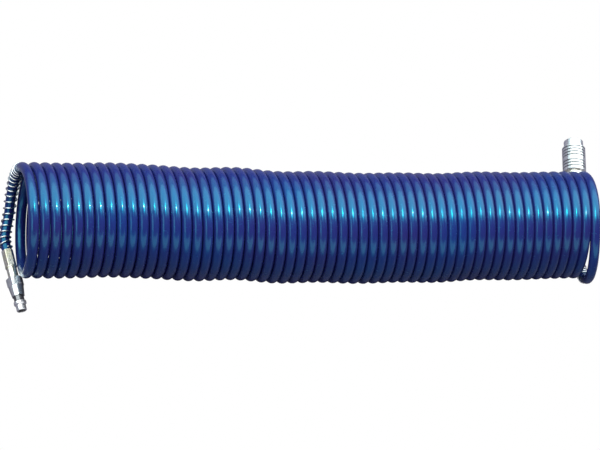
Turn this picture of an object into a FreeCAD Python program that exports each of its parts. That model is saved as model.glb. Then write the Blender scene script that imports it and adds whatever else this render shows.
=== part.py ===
import FreeCAD, Part
import Sketcher
import math
import os
from FreeCAD import Placement, Rotation, Vector

# A coiled (recoil) air hose lying on a flat surface. +X runs along the coil, +Z is up and the
# coil rests on z = 0. The plug end is at -X and points to -Y, the socket end is at +X and
# points to +Y. All sizes are in millimetres and all angles in degrees.

doc = FreeCAD.newDocument("CoiledAirHose")
sheet = doc.addObject("Spreadsheet::Sheet", "Sizes")

DRIVING_SIZES = [
    # hose and coil
    ("hose_outer_d", 10.0, "outside diameter of the hose"),
    ("hose_bore_d", 6.5, "bore of the hose"),
    ("coil_mean_d", 105.5, "diameter of the coil at the hose's centreline"),
    ("coil_pitch", 10.9, "distance from turn to turn along the coil"),
    ("coil_turns", 56, "turns of the coil, half a turn at each end included"),
    ("lean_plug_end", 1.85, "lean of the turns at the plug end, degrees"),
    ("lean_socket_end", -7.7, "lean of the turns at the socket end, degrees"),
    ("coil_swing", 4.8, "distance by which the turns are swung round at the socket end"),
    ("end_swing", 1.6, "further swing of the last turns"),
    ("end_spread", 1.4, "distance by which the last turns are drawn along"),
    ("end_spread_turns", 5, "turns over which they are swung and drawn"),
    ("coil_flat", 0.5, "depth of the flat on which each turn rests"),
    ("straight_end", 10.0, "straight hose in front of each stem"),
    ("joint_straight", 10.0, "straight hose where the coil meets each tail"),
    ("guard_cover_start", 0.10, "place on the first turn where the plug tail begins, in turns"),
    ("guard_cover_end", 0.42, "place on the last turn where the socket tail begins, in turns"),
    ("plug_tail_shift", 1.5, "extra distance of the plug tail from the first turn"),
    ("socket_tail_shift", 2.9, "extra distance of the socket tail from the last turn"),
    ("socket_tail_bulge", 8.0, "distance by which the socket tail swells out of the coil"),
    ("plug_tail_reach", 14.3, "distance from the coil's axis to the plug stem's face"),
    ("plug_tail_side", -2.0, "distance along X from the plug tail's bottom to the stem's face"),
    ("plug_yaw", 10.0, "turn of the plug's axis towards +X, degrees"),
    ("socket_tail_reach", 44.9, "distance from the coil's axis to the socket stem's face"),
    ("socket_tail_side", 5.0, "distance along X from the socket tail's bottom to the stem's face"),
    ("socket_yaw", 8.6, "turn of the socket's axis towards +X, degrees"),
    ("plug_axis_height", 8.9, "height of the plug's axis above the surface"),
    ("floor_clearance", 0.2, "space left under the socket's sleeve"),
    # spring guards
    ("guard_wire_d", 1.6, "wire of the spring guards"),
    ("guard_pitch", 6.5, "distance from curl to curl of the spring guards"),
    ("guard_curls", 16, "curls of each spring guard"),
    ("guard_clearance", 0.15, "radial space between a guard and the hose"),
    ("guard_end_gap", 0.3, "space between a guard's wire and the stem's hexagon"),
    # swivel stem, the same at both ends
    ("barb_len", 13.0, "length of the barbed shank in the hose"),
    ("barb_clearance", 0.03, "radial space between barb and bore"),
    ("barb_depth", 0.45, "depth of the cuts between the barbs"),
    ("barb_pitch", 3.2, "distance from barb to barb"),
    ("stem_hex_len", 18.0, "length of the stem's hexagon"),
    ("stem_hex_flats", 10.5, "stem hexagon across flats"),
    ("stem_bore_d", 3.2, "air passage of the stem"),
    ("spindle_d", 6.1, "spindle on which the swivel turns"),
    ("swivel_clearance", 0.05, "radial running clearance of the swivel"),
    ("axial_gap", 0.1, "end play between turning faces"),
    ("washer_d", 12.0, "thrust washer, outside diameter"),
    ("washer_thick", 1.3, "thrust washer, thickness"),
    ("neck_d", 10.3, "swivel neck, outside diameter"),
    ("plug_neck_len", 12.0, "visible length of the neck at the plug end"),
    ("socket_neck_len", 9.0, "visible length of the neck at the socket end"),
    ("thread_d", 9.6, "thread of the neck's shank"),
    ("thread_len", 7.5, "length of the neck's shank"),
    ("thread_clearance", 0.05, "radial space in the threads"),
    ("neck_chamber_d", 7.8, "chamber for the snap ring in the neck"),
    ("snap_ring_thick", 1.0, "snap ring, thickness"),
    ("snap_ring_d", 7.4, "snap ring, outside diameter"),
    ("snap_groove_depth", 0.55, "groove for the snap ring"),
    ("swivel_seal_d", 0.88, "section of the swivel's O-ring"),
    ("seal_seat_len", 2.4, "distance of the swivel's seal from the washer"),
    ("thread_seal_thick", 1.0, "sealing ring at the end of each thread"),
    ("edge_chamfer", 0.5, "chamfer on turned edges"),
    # plug nipple
    ("plug_hex_len", 8.8, "plug hexagon, length"),
    ("plug_hex_flats", 15.0, "plug hexagon across flats"),
    ("plug_cone_len", 10.9, "cone from the hexagon to the locking groove"),
    ("plug_cone_d", 15.4, "cone at the hexagon"),
    ("plug_rim_d", 12.6, "cone at the locking groove"),
    ("lock_groove_d", 10.4, "locking groove, diameter"),
    ("lock_groove_len", 5.0, "locking groove, length"),
    ("collar_d", 12.6, "collar in front of the locking groove"),
    ("collar_len", 4.8, "collar, with its two bevels"),
    ("collar_bevel", 1.2, "length of each bevel of the collar"),
    ("nose_d", 10.2, "nose of the plug"),
    ("nose_len", 6.0, "nose of the plug, length"),
    ("plug_bore_d", 8.0, "air passage of the plug"),
    # socket
    ("adapter_hex_flats", 20.0, "adapter hexagon across flats"),
    ("adapter_hex_len", 6.8, "adapter hexagon, length"),
    ("adapter_skirt_d", 20.0, "round skirt of the adapter under the sleeve"),
    ("adapter_skirt_len", 9.2, "round skirt, length"),
    ("adapter_wall", 1.5, "wall between the two threads of the adapter"),
    ("adapter_passage_d", 5.0, "air passage through that wall"),
    ("body_thread_d", 16.0, "rear thread of the socket body"),
    ("body_shoulder_len", 2.0, "shoulder of the socket body against the skirt"),
    ("body_d", 17.5, "socket body under the sleeve"),
    ("body_front_d", 15.6, "front thread of the socket body"),
    ("body_seal_thick", 1.0, "seal between body and adapter"),
    ("chamber_d", 14.0, "valve chamber in the body"),
    ("mouth_clearance", 0.15, "radial space between collar and mouth"),
    ("mouth_relief", 0.35, "radial relief of the mouth in front of the balls"),
    ("ball_land", 0.35, "land in front of the ball holes"),
    ("nose_clearance", 0.15, "radial space between nose and seal bore"),
    ("mouth_seal_d", 1.9, "section of the O-ring that seals the plug's nose"),
    ("mouth_seal_land", 1.1, "land between valve seat and O-ring groove"),
    ("collar_stop_gap", 0.3, "space between a seated collar and its step"),
    ("sleeve_d", 26.0, "locking sleeve, outside diameter"),
    ("sleeve_len", 31.0, "locking sleeve, length"),
    ("sleeve_travel", 4.5, "way of the locking sleeve"),
    ("sleeve_clearance", 0.12, "radial space under the sleeve's skirt"),
    ("sleeve_land_clearance", 0.1, "radial space over the locked balls"),
    ("sleeve_skirt_len", 5.0, "rear skirt of the sleeve"),
    ("sleeve_chamber_d", 20.8, "spring chamber in the sleeve"),
    ("sleeve_chamber_len", 10.5, "spring chamber, length"),
    ("rib_depth", 0.55, "depth of the sleeve's grip grooves"),
    ("rib_width", 1.4, "width of the sleeve's grip grooves"),
    ("rib_pitch", 3.6, "distance from groove to groove"),
    ("rib_first", 1.6, "distance of the first groove from the sleeve's front"),
    ("rib_band", 6.6, "distance from groove to groove across the plain band"),
    ("rib_front_count", 4, "grooves in front of the plain band"),
    ("rib_rear_count", 3, "grooves behind the plain band"),
    ("nose_ring_d", 21.6, "ring in front of the sleeve"),
    ("nose_ring_len", 9.0, "ring in front of the sleeve, length"),
    ("ball_d", 3.5, "locking balls"),
    ("ball_count", 6, "locking balls"),
    ("ball_clearance", 0.05, "radial space round a ball in its hole"),
    ("ball_seat_gap", 0.1, "space between a locked ball and the plug's groove"),
    ("ball_setback", 6.0, "distance of the balls from the sleeve's front"),
    ("ball_travel", 1.05, "way of the balls when the sleeve is drawn back"),
    ("valve_travel", 2.6, "way of the valve when a plug is pushed in"),
    ("valve_nose_d", 9.2, "nose of the valve"),
    ("valve_nose_proud", 0.65, "nose of the valve in front of its seat"),
    ("valve_head_d", 13.2, "head of the valve"),
    ("valve_head_len", 1.5, "head of the valve, length"),
    ("valve_seal_thick", 1.5, "seal on the valve's head"),
    ("valve_stem_d", 4.4, "stem of the valve"),
    ("valve_stem_len", 3.0, "stem of the valve, length"),
    ("seat_gap", 0.05, "space between valve seal and seat"),
    ("valve_spring_wire", 0.8, "wire of the valve's spring"),
    ("valve_spring_d", 10.0, "mean diameter of the valve's spring"),
    ("valve_spring_curls", 4, "curls of the valve's spring"),
    ("sleeve_spring_wire", 1.0, "wire of the sleeve's spring"),
    ("sleeve_spring_d", 18.8, "mean diameter of the sleeve's spring"),
    ("sleeve_spring_curls", 3, "curls of the sleeve's spring"),
    ("spring_seat_gap", 0.1, "space between a spring's end and its seat"),
]

# The lying coil sways sideways. Its axis is given at even steps of turns from the plug end.
SWAY_STEP = 4
SWAY = [-3.5, -3.6, -2.3, -3.7, -6.2, -4.8, -8.4, -7.4, -8.6, -7.1, -7.1, -4.1, -4.0, -2.2, -1.0]
DRIVING_SIZES += [
    (f"sway_{SWAY_STEP * index}", side, f"sideways place of the coil's axis at turn {SWAY_STEP * index}")
    for index, side in enumerate(SWAY)
]


class Size:
    """A length with its number and the sheet expression that gives it."""

    def __init__(self, text, number):
        self.text = text
        self.number = number

    def join(self, sign, other):
        other = other if isinstance(other, Size) else Size(repr(other), other)
        results = {
            "+": lambda a, b: a + b,
            "-": lambda a, b: a - b,
            "*": lambda a, b: a * b,
            "/": lambda a, b: a / b,
        }
        number = results[sign](self.number, other.number)
        return Size(f"({self.text} {sign} {other.text})", number)

    def __add__(self, other):
        return self.join("+", other)

    def __sub__(self, other):
        return self.join("-", other)

    def __mul__(self, other):
        return self.join("*", other)

    def __truediv__(self, other):
        return self.join("/", other)


class Table:
    """The sheet's sizes by alias."""


def fill_sheet():
    """Writes the driving sizes and returns them as a table of sizes."""
    table = Table()
    for row, (alias, number, meaning) in enumerate(DRIVING_SIZES, start=1):
        sheet.set(f"A{row}", meaning)
        sheet.set(f"B{row}", str(number))
        sheet.setAlias(f"B{row}", alias)
        setattr(table, alias, Size(f"Sizes.{alias}", float(number)))
    doc.recompute()
    return table


S = fill_sheet()
ZERO = Size("0", 0.0)

# Sizes that pieces share.
hose_r = S.hose_outer_d / 2
guard_r = hose_r + S.guard_clearance + S.guard_wire_d / 2
guard_outer_r = guard_r + S.guard_wire_d / 2
spindle_r = S.spindle_d / 2
thread_r = S.thread_d / 2
tapped_r = thread_r + S.thread_clearance
mouth_r = S.collar_d / 2 + S.mouth_clearance
seal_bore_r = S.nose_d / 2 + S.nose_clearance
ball_r = S.ball_d / 2
ball_place_r = S.lock_groove_d / 2 + S.ball_seat_gap + ball_r
land_r = ball_place_r + ball_r + S.sleeve_land_clearance


def radians(size):
    return math.radians(size.number)


# The centreline of the hose. A place on the coil is given in turns from the plug end. A whole
# turn starts at the coil's +Y side and goes over the top, so the helix is right-handed.


def smooth(share):
    share = min(1.0, max(0.0, share))
    return share * share * (3.0 - 2.0 * share)


def lean_at(turn):
    share = turn / S.coil_turns.number
    return radians(S.lean_plug_end) * (1.0 - share) + radians(S.lean_socket_end) * share


def sway_at(turn):
    """Sideways place of the coil's axis, on a smooth line through the sheet's places."""
    steps = min(len(SWAY) - 1.0, max(0.0, turn / SWAY_STEP))
    index = min(len(SWAY) - 2, int(steps))
    share = steps - index
    sides = [getattr(S, f"sway_{SWAY_STEP * step}").number for step in range(len(SWAY))]
    sides = [2.0 * sides[0] - sides[1]] + sides + [2.0 * sides[-1] - sides[-2]]
    before, here, there, after = sides[index:index + 4]
    return here + 0.5 * share * (
        there - before
        + share * (2.0 * before - 5.0 * here + 4.0 * there - after)
        + share * share * (3.0 * here - before - 3.0 * there + after)
    )


def end_share(turn):
    """Rises from 0 to 1 over the turns that are swung and drawn at the socket end."""
    return smooth(1.0 - (S.coil_turns.number - turn - 1.0) / S.end_spread_turns.number)


def swing_at(turn):
    """Distance along X by which the coil's +Y side stands in front of its axis."""
    share = min(1.0, max(0.0, turn / S.coil_turns.number))
    return S.coil_swing.number * share ** 2 + S.end_swing.number * end_share(turn)


def tail_shift(turn):
    """Extra distance along X by which the guarded tails stand off the coil."""
    last = S.coil_turns.number - 1.0
    plug = smooth((0.45 - turn) / 0.7)
    socket = smooth((turn - last - 0.33) / 0.24)
    return socket * S.socket_tail_shift.number - plug * S.plug_tail_shift.number


def tail_bulge(turn):
    """How much the socket tail swells out where it turns under the coil."""
    last = S.coil_turns.number - 1.0
    side = max(0.0, -math.cos(2.0 * math.pi * turn))
    return S.socket_tail_bulge.number * side * smooth((turn - last - 0.15) / 0.42)


def tail_lift(turn):
    """How much a guarded tail is raised where it passes under the coil."""
    last = S.coil_turns.number - 1.0
    needed = guard_outer_r.number - hose_r.number + S.coil_flat.number + 0.3
    plug = smooth((S.guard_cover_start.number - turn) / 0.35)
    socket = smooth((turn - last - S.guard_cover_end.number) / 0.25)
    return needed * (plug + socket)


def coil_point(turn):
    radius = S.coil_mean_d.number / 2.0
    angle = 2.0 * math.pi * turn
    lean = lean_at(turn)
    drawn = tail_shift(turn) + S.end_spread.number * end_share(turn)
    centre = Vector(
        (turn - S.coil_turns.number / 2.0) * S.coil_pitch.number + drawn,
        sway_at(turn) - tail_bulge(turn),
        radius * math.cos(lean) + hose_r.number - S.coil_flat.number,
    )
    under = tail_lift(turn) * max(0.0, -math.sin(angle))
    return centre + Vector(
        radius * math.sin(angle) * math.sin(lean) + swing_at(turn) * math.cos(angle),
        radius * math.cos(angle),
        radius * math.sin(angle) * math.cos(lean) + under,
    )


def coil_tangent(turn, step=1e-4):
    return (coil_point(turn + step) - coil_point(turn - step)).normalize()


def arc_middle(start, tangent, end):
    """Middle point of the arc that leaves start along tangent and reaches end."""
    chord = end - start
    along = Vector(chord).normalize()
    lean = min(1.0, max(-1.0, tangent.dot(along)))
    side = tangent - along * lean
    if side.Length < 1e-7:
        return None
    side.normalize()
    half = math.acos(lean) / 2.0
    return start + chord * 0.5 + side * (chord.Length / 2.0 * math.tan(half))


def arc_edge(start, tangent, end):
    middle = arc_middle(start, tangent, end)
    if middle is None:
        return Part.LineSegment(start, end).toShape()
    return Part.Arc(start, middle, end).toShape()


def biarc_edges(first, second):
    """Two tangent arcs between two (point, tangent) pairs, or one line where they are in line."""
    (start, leaving), (end, arriving) = first, second
    chord = end - start
    along = Vector(chord).normalize()
    if leaving.dot(along) > 1.0 - 1e-10 and arriving.dot(along) > 1.0 - 1e-10:
        return [Part.LineSegment(start, end).toShape()]
    spread = 2.0 * (1.0 - leaving.dot(arriving))
    reach = chord.dot(leaving + arriving)
    square = chord.dot(chord)
    if spread < 1e-9:
        arm = square / (2.0 * reach)
    else:
        arm = (math.sqrt(reach * reach + spread * square) - reach) / spread
    meeting = (start + end + (leaving - arriving) * arm) * 0.5
    second_arc = arc_middle(end, arriving * -1.0, meeting)
    edges = [arc_edge(start, leaving, meeting)]
    if second_arc is None:
        edges.append(Part.LineSegment(meeting, end).toShape())
    else:
        edges.append(Part.Arc(meeting, second_arc, end).toShape())
    return edges


def route_wire(knots):
    edges = []
    for first, second in zip(knots, knots[1:]):
        edges += biarc_edges(first, second)
    return Part.Wire(edges)


def swept(wire, start, tangent, radius):
    """A round bar along a wire."""
    ring = Part.Wire([Part.Circle(start, tangent, radius).toShape()])
    shell = Part.BRepOffsetAPI.MakePipeShell(wire)
    shell.add(ring)
    shell.build()
    shell.makeSolid()
    return shell.shape()


def hose_piece(knots):
    wire = route_wire(knots)
    start, tangent = knots[0]
    outside = swept(wire, start, tangent, hose_r.number)
    bore = swept(wire, start, tangent, S.hose_bore_d.number / 2.0)
    return outside.cut(bore), wire


def ahead(knot, distance):
    """The knot moved along its own tangent."""
    return (knot[0] + knot[1] * distance, knot[1])


def coil_knot(turn):
    return (coil_point(turn), coil_tangent(turn))


last_turn = S.coil_turns.number - 1.0
plug_split = coil_knot(S.guard_cover_start.number)
socket_split = coil_knot(last_turn + S.guard_cover_end.number)

socket_axis_height = S.sleeve_d.number / 2.0 + S.floor_clearance.number
plug_axis = Vector(math.sin(radians(S.plug_yaw)), -math.cos(radians(S.plug_yaw)), 0)
socket_axis = Vector(math.sin(radians(S.socket_yaw)), math.cos(radians(S.socket_yaw)), 0)

socket_under = coil_knot(last_turn + 0.74)

plug_face = Vector(
    coil_point(-0.25).x + S.plug_tail_side.number,
    -S.plug_tail_reach.number,
    S.plug_axis_height.number,
)
socket_face = Vector(
    socket_under[0].x + S.socket_tail_side.number,
    S.socket_tail_reach.number,
    socket_axis_height,
)

half_joint = S.joint_straight.number / 2.0
plug_tail_knots = [
    (plug_face, plug_axis * -1.0),
    (plug_face - plug_axis * S.straight_end.number, plug_axis * -1.0),
    coil_knot(-0.08),
    ahead(plug_split, -half_joint),
    plug_split,
]
coil_knots = (
    [plug_split, ahead(plug_split, half_joint)]
    + [coil_knot(0.25 + 0.5 * step) for step in range(int(2 * S.coil_turns.number) - 1)]
    + [ahead(socket_split, -half_joint), socket_split]
)
socket_tail_knots = [
    socket_split,
    ahead(socket_split, half_joint),
    coil_knot(last_turn + 0.64),
    socket_under,
    (socket_face - socket_axis * S.straight_end.number, socket_axis),
    (socket_face, socket_axis),
]


def hose_coil():
    """The wound hose, with a flat under each turn where it rests."""
    coil, wire = hose_piece(coil_knots)
    box = coil.BoundBox
    margin = S.hose_outer_d.number
    below = Part.makeBox(
        box.XLength + 2 * margin,
        box.YLength + 2 * margin,
        margin,
        Vector(box.XMin - margin, box.YMin - margin, -margin),
    )
    return coil.cut(below), wire


class Guide:
    """A line with a frame that doesn't twist, read by distance from its first end."""

    def __init__(self, wire, step=0.5):
        count = int(wire.Length / step)
        points = wire.discretize(Number=count + 1)
        self.step = wire.Length / count
        self.points = points
        self.normals = []
        normal = None
        for index in range(count + 1):
            tangent = self.tangent(index)
            if normal is None:
                normal = Vector(0, 0, 1)
            normal = (normal - tangent * normal.dot(tangent)).normalize()
            self.normals.append(normal)

    def tangent(self, index):
        before = self.points[max(0, index - 1)]
        after = self.points[min(len(self.points) - 1, index + 1)]
        return (after - before).normalize()

    def off_axis(self, distance, radius, angle):
        """Point at a distance along the line, a radius off it and turned by an angle."""
        place = distance / self.step
        index = min(len(self.points) - 2, max(0, int(math.floor(place))))
        share = place - index
        point = self.points[index] * (1 - share) + self.points[index + 1] * share
        normal = self.normals[index] * (1 - share) + self.normals[index + 1] * share
        tangent = self.tangent(index) * (1 - share) + self.tangent(index + 1) * share
        tangent.normalize()
        normal = (normal - tangent * normal.dot(tangent)).normalize()
        side = tangent.cross(normal)
        return point + (normal * math.cos(angle) + side * math.sin(angle)) * radius


def wound_spring(guide, first, curls, pitch, mean_r, wire_d):
    """A spring round a guide, with straight ends of one wire diameter."""

    def place(turn):
        return guide.off_axis(first + pitch * turn, mean_r, 2.0 * math.pi * turn)

    def knot(turn, step=0.02):
        return (place(turn), (place(turn + step) - place(turn - step)).normalize())

    knots = [knot(0.25 * quarter) for quarter in range(int(4 * curls) + 1)]
    knots.insert(0, ahead(knots[0], -wire_d))
    knots.append(ahead(knots[-1], wire_d))
    wire = route_wire(knots)
    return swept(wire, knots[0][0], knots[0][1], wire_d / 2.0), wire


def least_gap(wire, bar_d, turns, samples=24):
    """Smallest free space from one turn of a wound bar to the turns beside it."""
    points = wire.discretize(Number=int(turns * samples) + 1)
    least = None
    for index, point in enumerate(points):
        for other in range(index + samples // 2, min(len(points), index + 2 * samples)):
            gap = (points[other] - point).Length - bar_d
            least = gap if least is None or gap < least else least
    return least


WOUND = []


def add_wound(label, shape_and_wire, turns, bar):
    """Puts a wound piece into the document."""
    shape, wire = shape_and_wire
    piece = doc.addObject("Part::Feature", label)
    piece.Label = label
    piece.Shape = shape
    WOUND.append((label, wire, turns, bar.number))
    return piece


# Turned pieces. Each is drawn as half its section on a line of stations and turned about X.


def origin_feature(body, role):
    return next(item for item in body.Origin.OriginFeatures if item.Role == role)


def bind(sketch, kind, vertex, size, axis):
    """Ties one coordinate of a corner to its size, or to the axis where it is zero."""
    if size is ZERO:
        sketch.addConstraint(Sketcher.Constraint("PointOnObject", vertex, 1, axis))
        return
    index = sketch.addConstraint(Sketcher.Constraint(kind, -1, 1, vertex, 1, size.number))
    sketch.setExpression(f"Constraints[{index}]", size.text)


def section_sketch(body, name, corners):
    sketch = body.newObject("Sketcher::SketchObject", name)
    sketch.AttachmentSupport = (origin_feature(body, "XY_Plane"), [""])
    sketch.MapMode = "FlatFace"
    places = [Vector(station.number, radius.number, 0) for station, radius in corners]
    count = len(places)
    for index, place in enumerate(places):
        sketch.addGeometry(Part.LineSegment(place, places[(index + 1) % count]), False)
    for index in range(count):
        sketch.addConstraint(Sketcher.Constraint("Coincident", index, 2, (index + 1) % count, 1))
    for index, (station, radius) in enumerate(corners):
        bind(sketch, "DistanceX", index, station, -2)
        bind(sketch, "DistanceY", index, radius, -1)
    return sketch


def turned_body(label, corners):
    body = doc.addObject("PartDesign::Body", label)
    body.Label = label
    sketch = section_sketch(body, label + "_section", corners)
    turned = body.newObject("PartDesign::Revolution", label + "_turned")
    turned.Profile = sketch
    turned.ReferenceAxis = (sketch, ["H_Axis"])
    turned.Angle = 360.0
    sketch.Visibility = False
    body.Tip = turned
    return body


def round_pattern(body, feature, name, count_size):
    pattern = body.newObject("PartDesign::PolarPattern", name)
    pattern.Originals = [feature]
    pattern.Axis = (origin_feature(body, "X_Axis"), [""])
    pattern.Angle = 360.0
    if isinstance(count_size, Size):
        pattern.setExpression("Occurrences", count_size.text)
        pattern.Occurrences = int(count_size.number)
    else:
        pattern.Occurrences = count_size
    body.Tip = pattern
    return pattern


def mill_hexagon(body, name, flats, end_station, length, bar_d):
    """Mills six flats into a round bar, back from a station by a length."""
    sketch = body.newObject("Sketcher::SketchObject", name + "_flat")
    sketch.AttachmentSupport = (origin_feature(body, "YZ_Plane"), [""])
    sketch.MapMode = "FlatFace"
    sketch.setExpression("AttachmentOffset.Base.z", end_station.text)
    half_flat = flats / 2
    corners = [
        Vector(-bar_d.number, half_flat.number, 0),
        Vector(bar_d.number, half_flat.number, 0),
        Vector(bar_d.number, bar_d.number, 0),
        Vector(-bar_d.number, bar_d.number, 0),
    ]
    for index in range(4):
        sketch.addGeometry(Part.LineSegment(corners[index], corners[(index + 1) % 4]), False)
    for index in range(4):
        sketch.addConstraint(Sketcher.Constraint("Coincident", index, 2, (index + 1) % 4, 1))
    sketch.addConstraint(Sketcher.Constraint("Symmetric", 0, 1, 0, 2, -2))
    sketch.addConstraint(Sketcher.Constraint("Vertical", 1))
    sketch.addConstraint(Sketcher.Constraint("Horizontal", 2))
    sketch.addConstraint(Sketcher.Constraint("Vertical", 3))
    bind(sketch, "DistanceY", 0, half_flat, -1)
    bind(sketch, "DistanceX", 1, bar_d, -2)
    bind(sketch, "DistanceY", 2, bar_d, -1)
    flat = body.newObject("PartDesign::Pocket", name + "_cut")
    flat.Profile = sketch
    flat.Type = "Length"
    flat.Length = length.number
    flat.setExpression("Length", length.text)
    sketch.Visibility = False
    body.Tip = flat
    return round_pattern(body, flat, name, 6)


def across_corners(flats):
    """Diameter of the bar from which a hexagon is milled, with its corners turned off."""
    return flats * 1.13


# Stations along an end's axis, from the tip of the barbed shank.
face = S.barb_len
hex_end = face + S.stem_hex_len
washer_start = hex_end + S.axial_gap
neck_start = washer_start + S.washer_thick
bore_r = S.hose_bore_d / 2


def swivel_stem(label, neck_len):
    """Barbed shank, hexagon and spindle in one piece, with the air passage through it."""
    air_r = S.stem_bore_d / 2
    barb_r = bore_r - S.barb_clearance
    root_r = barb_r - S.barb_depth
    round_r = across_corners(S.stem_hex_flats) / 2
    ring_start = neck_start + neck_len
    ring_end = ring_start + S.snap_ring_thick
    groove_r = spindle_r - S.snap_groove_depth
    seal_mid = neck_start + S.seal_seat_len
    seal_half = S.swivel_seal_d * 0.6
    seal_root = spindle_r + S.swivel_clearance - S.swivel_seal_d - S.axial_gap / 4
    corners = [(ZERO, air_r), (ZERO, root_r)]
    for barb in range(3):
        tip = S.edge_chamfer + S.barb_pitch * barb
        corners += [(tip, root_r), (tip + S.barb_pitch * 0.8, barb_r)]
        corners += [(tip + S.barb_pitch * 0.8 + S.edge_chamfer / 5, root_r)]
    corners += [
        (face, root_r),
        (face, round_r - S.edge_chamfer),
        (face + S.edge_chamfer / 2, round_r),
        (hex_end - S.edge_chamfer / 2, round_r),
        (hex_end, round_r - S.edge_chamfer),
        (hex_end, spindle_r),
        (seal_mid - seal_half, spindle_r),
        (seal_mid - seal_half, seal_root),
        (seal_mid + seal_half, seal_root),
        (seal_mid + seal_half, spindle_r),
        (ring_start, spindle_r),
        (ring_start, groove_r),
        (ring_end, groove_r),
        (ring_end, spindle_r),
        (ring_end + S.snap_ring_thick, spindle_r),
        (ring_end + S.snap_ring_thick, air_r),
    ]
    body = turned_body(label, corners)
    doc.recompute()
    mill_hexagon(body, label + "_hexagon", S.stem_hex_flats, hex_end, S.stem_hex_len, round_r * 2)
    return body


def thrust_washer(label):
    inner = spindle_r + S.swivel_clearance
    outer = S.washer_d / 2
    edge = S.edge_chamfer / 2
    return turned_body(label, [
        (washer_start, inner),
        (washer_start, outer - edge),
        (washer_start + edge, outer),
        (neck_start - edge, outer),
        (neck_start, outer - edge),
        (neck_start, inner),
    ])


def swivel_neck(label, neck_len):
    """Sleeve that turns on the spindle, with a threaded shank for the coupling."""
    running_r = spindle_r + S.swivel_clearance
    chamber_r = S.neck_chamber_d / 2
    outer = S.neck_d / 2
    shoulder = neck_start + neck_len
    chamber_start = shoulder
    end = shoulder + S.thread_len
    edge = S.edge_chamfer
    return turned_body(label, [
        (neck_start, running_r),
        (neck_start, outer - edge),
        (neck_start + edge, outer),
        (shoulder, outer),
        (shoulder, thread_r),
        (end - edge / 2, thread_r),
        (end, thread_r - edge / 2),
        (end, chamber_r),
        (chamber_start, chamber_r),
        (chamber_start, running_r),
    ])


def snap_ring(label, neck_len):
    """Open ring in the spindle's groove that holds the neck on."""
    start = neck_start + neck_len
    groove_r = spindle_r - S.snap_groove_depth
    gap = S.axial_gap / 4
    inner = groove_r + gap
    outer = S.snap_ring_d / 2
    end = start + S.snap_ring_thick
    body = turned_body(label, [
        (start + gap, inner), (start + gap, outer), (end - gap, outer), (end - gap, inner),
    ])
    doc.recompute()
    slot = body.newObject("Sketcher::SketchObject", label + "_slot_sketch")
    slot.AttachmentSupport = (origin_feature(body, "XY_Plane"), [""])
    slot.MapMode = "FlatFace"
    places = [(start, ZERO), (end, ZERO), (end, outer + gap), (start, outer + gap)]
    for index, (station, radius) in enumerate(places):
        after = places[(index + 1) % 4]
        slot.addGeometry(Part.LineSegment(
            Vector(station.number, radius.number, 0), Vector(after[0].number, after[1].number, 0),
        ), False)
    for index in range(4):
        slot.addConstraint(Sketcher.Constraint("Coincident", index, 2, (index + 1) % 4, 1))
    for index, (station, radius) in enumerate(places):
        bind(slot, "DistanceX", index, station, -2)
        bind(slot, "DistanceY", index, radius, -1)
    opening = body.newObject("PartDesign::Pocket", label + "_slot")
    opening.Profile = slot
    opening.Type = "Length"
    opening.Midplane = True
    opening.Length = S.snap_ring_thick.number * 1.5
    opening.setExpression("Length", (S.snap_ring_thick * 1.5).text)
    slot.Visibility = False
    body.Tip = opening
    return body


def round_seal(label, middle_r, section_r, frame, station):
    """O-ring of a middle radius, square to an axis at a station."""
    ring = doc.addObject("Part::Torus", label)
    ring.Label = label
    ring.setExpression("Radius1", middle_r.text)
    ring.setExpression("Radius2", section_r.text)
    ring.Placement = frame.multiply(
        Placement(Vector(station.number, 0, 0), Rotation(Vector(0, 1, 0), 90))
    )
    return ring


def swivel_seal(label, frame):
    section = S.swivel_seal_d / 2
    middle = spindle_r + S.swivel_clearance - section - S.axial_gap / 5
    return round_seal(label, middle, section, frame, neck_start + S.seal_seat_len)


def thread_seal(label, neck_len):
    """Flat ring squeezed at the end of the neck's thread."""
    start = neck_start + neck_len + S.thread_len
    end = start + S.thread_seal_thick
    inner = S.neck_chamber_d / 2
    return turned_body(label, [(start, inner), (start, thread_r), (end, thread_r), (end, inner)])


def end_frame(axis_point, axis):
    """Frame whose X runs along an end's axis, from the tip of its barbed shank."""
    turn = math.degrees(math.atan2(axis.y, axis.x))
    start = axis_point - axis * S.barb_len.number
    return Placement(start, Rotation(Vector(0, 0, 1), turn))


plug_frame = end_frame(plug_face, plug_axis)
socket_frame = end_frame(socket_face, socket_axis)


def plug_nipple():
    start = neck_start + S.plug_neck_len
    tapped_end = start + S.thread_len + S.thread_seal_thick
    hexagon_end = start + S.plug_hex_len
    cone_end = hexagon_end + S.plug_cone_len
    groove_end = cone_end + S.lock_groove_len
    collar_end = groove_end + S.collar_len
    tip = collar_end + S.nose_len
    round_r = across_corners(S.plug_hex_flats) / 2
    air_r = S.plug_bore_d / 2
    edge = S.edge_chamfer
    groove_r = S.lock_groove_d / 2
    collar_r = S.collar_d / 2
    nose_r = S.nose_d / 2
    body = turned_body("plug_nipple", [
        (start, tapped_r),
        (start, round_r - edge * 1.6),
        (start + edge, round_r),
        (hexagon_end - edge, round_r),
        (hexagon_end, round_r - edge * 1.6),
        (hexagon_end, S.plug_cone_d / 2),
        (cone_end - edge, S.plug_rim_d / 2),
        (cone_end, S.plug_rim_d / 2),
        (cone_end, groove_r),
        (groove_end, groove_r),
        (groove_end + S.collar_bevel, collar_r),
        (collar_end - S.collar_bevel, collar_r),
        (collar_end, nose_r),
        (tip - edge, nose_r),
        (tip, nose_r - edge),
        (tip, air_r + edge / 2),
        (tip - edge / 2, air_r),
        (tapped_end, air_r),
        (tapped_end, tapped_r),
    ])
    doc.recompute()
    mill_hexagon(
        body, "plug_hexagon", S.plug_hex_flats, hexagon_end, S.plug_hex_len, round_r * 2
    )
    return body


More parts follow.
